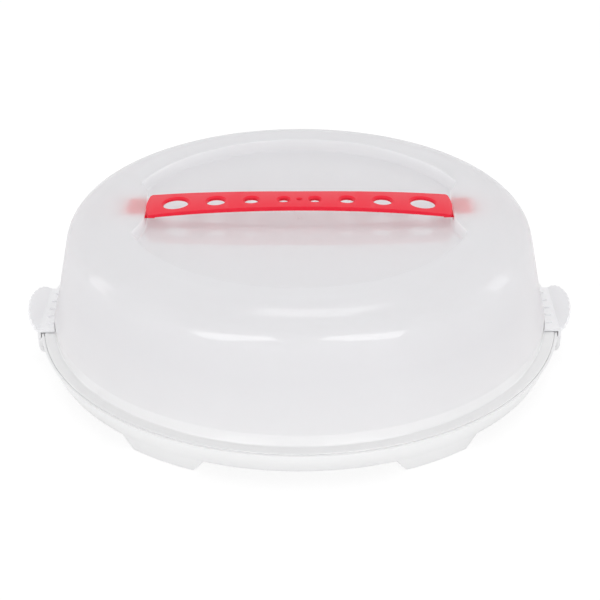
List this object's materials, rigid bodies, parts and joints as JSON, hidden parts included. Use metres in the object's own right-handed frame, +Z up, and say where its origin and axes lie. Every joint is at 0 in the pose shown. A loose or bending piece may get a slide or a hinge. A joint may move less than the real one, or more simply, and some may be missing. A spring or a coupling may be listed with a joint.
{
  "type": "cake carrier",
  "caption": "Round cake carrier with a frosted domed lid, a flexible strap handle on top, a tray on feet and a turning clip on each side.",
  "frame": {"origin": "centre of the tray on the ground, level with the undersides of the feet", "axes": "+Z up, +X towards the right-hand clip, -Y towards the front"},
  "size_m": [0.375, 0.355, 0.1114],
  "materials": {
    "tray_white": "satin",
    "lid_frosted": "frosted translucent",
    "strap_red": "satin",
    "clip_white": "satin"
  },
  "bodies": {
    "base": {"base_tray": "tray_white"},
    "lid": {"lid_dome": "lid_frosted"},
    "handle": {"handle_strap": "strap_red"},
    "left_clip": {"clip_left": "clip_white"},
    "right_clip": {"clip_right": "clip_white"}
  },
  "joints": [
    {"name": "lid_lift", "type": "slide", "parent": "base", "child": "lid", "axis": [0, 0, 1], "range_m": [0, 0.12]},
    {"name": "handle_lift", "type": "slide", "parent": "lid", "child": "handle", "axis": [0, 0, 1], "range_m": [0, 0.016], "deforming": ["handle_strap"]},
    {"name": "clip_left_open", "type": "hinge", "parent": "base", "child": "left_clip", "pos_m": [-0.1735, 0, 0.0155], "axis": [0, -1, 0], "range_deg": [0, 90]},
    {"name": "clip_right_open", "type": "hinge", "parent": "base", "child": "right_clip", "pos_m": [0.1735, 0, 0.0155], "axis": [0, 1, 0], "range_deg": [0, 90]}
  ]
}
